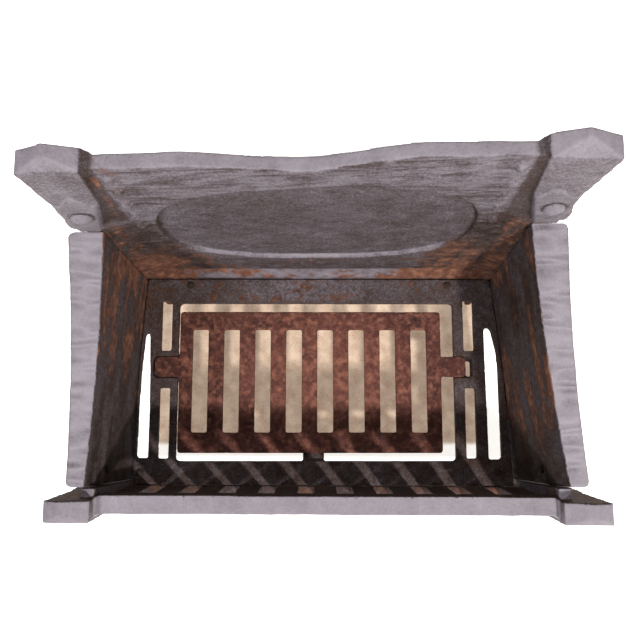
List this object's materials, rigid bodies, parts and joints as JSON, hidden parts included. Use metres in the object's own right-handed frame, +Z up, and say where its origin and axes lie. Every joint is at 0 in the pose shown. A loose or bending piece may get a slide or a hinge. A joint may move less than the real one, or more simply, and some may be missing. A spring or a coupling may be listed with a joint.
{
  "type": "cast-iron fire basket",
  "caption": "Hammered cast-iron fire basket with a tall shaped fireback, splayed cheeks, barred front and rocking bottom grate; holds a coal or charcoal fire off the hearth.",
  "frame": {"origin": "centre of the footprint at floor level", "axes": "+X to the basket's right seen from the front, +Y from the front bars towards the fireback, +Z up"},
  "size_m": [0.521, 0.3126, 0.4269],
  "materials": {
    "hammered_iron": "hammered casting, worn grey with soot and rust streaks",
    "sooty_iron": "soot-blackened casting with rust",
    "rusty_iron": "red-brown rusted casting",
    "bolt_iron": "dark oxidised wrought iron"
  },
  "bodies": {
    "basket": {"fireback": "hammered_iron", "left_cheek": "hammered_iron", "right_cheek": "hammered_iron", "front_fret": "hammered_iron", "base_frame": "sooty_iron", "rear_ear_bolt_left": "bolt_iron", "rear_ear_nut_left": "bolt_iron", "front_ear_bolt_left": "bolt_iron", "front_ear_nut_left": "bolt_iron", "cheek_bolt_left_lower": "bolt_iron", "cheek_nut_left_lower": "bolt_iron", "cheek_bolt_left_upper": "bolt_iron", "cheek_nut_left_upper": "bolt_iron", "side_bolt_left": "bolt_iron", "side_nut_left": "bolt_iron", "rear_ear_bolt_right": "bolt_iron", "rear_ear_nut_right": "bolt_iron", "front_ear_bolt_right": "bolt_iron", "front_ear_nut_right": "bolt_iron", "cheek_bolt_right_lower": "bolt_iron", "cheek_nut_right_lower": "bolt_iron", "cheek_bolt_right_upper": "bolt_iron", "cheek_nut_right_upper": "bolt_iron", "side_bolt_right": "bolt_iron", "side_nut_right": "bolt_iron", "base_screw_rear_left": "bolt_iron", "base_nut_rear_left": "bolt_iron", "base_screw_rear_right": "bolt_iron", "base_nut_rear_right": "bolt_iron", "base_screw_front_left": "bolt_iron", "base_nut_front_left": "bolt_iron", "base_screw_front_right": "bolt_iron", "base_nut_front_right": "bolt_iron"},
    "rocking_grate": {"rocking_grate": "rusty_iron"}
  },
  "joints": [
    {"name": "grate_rock", "type": "hinge", "parent": "basket", "child": "rocking_grate", "pos_m": [-0.008, 0.00598, 0.0925], "axis": [-1, 0, 0], "range_deg": [0, 70]}
  ]
}
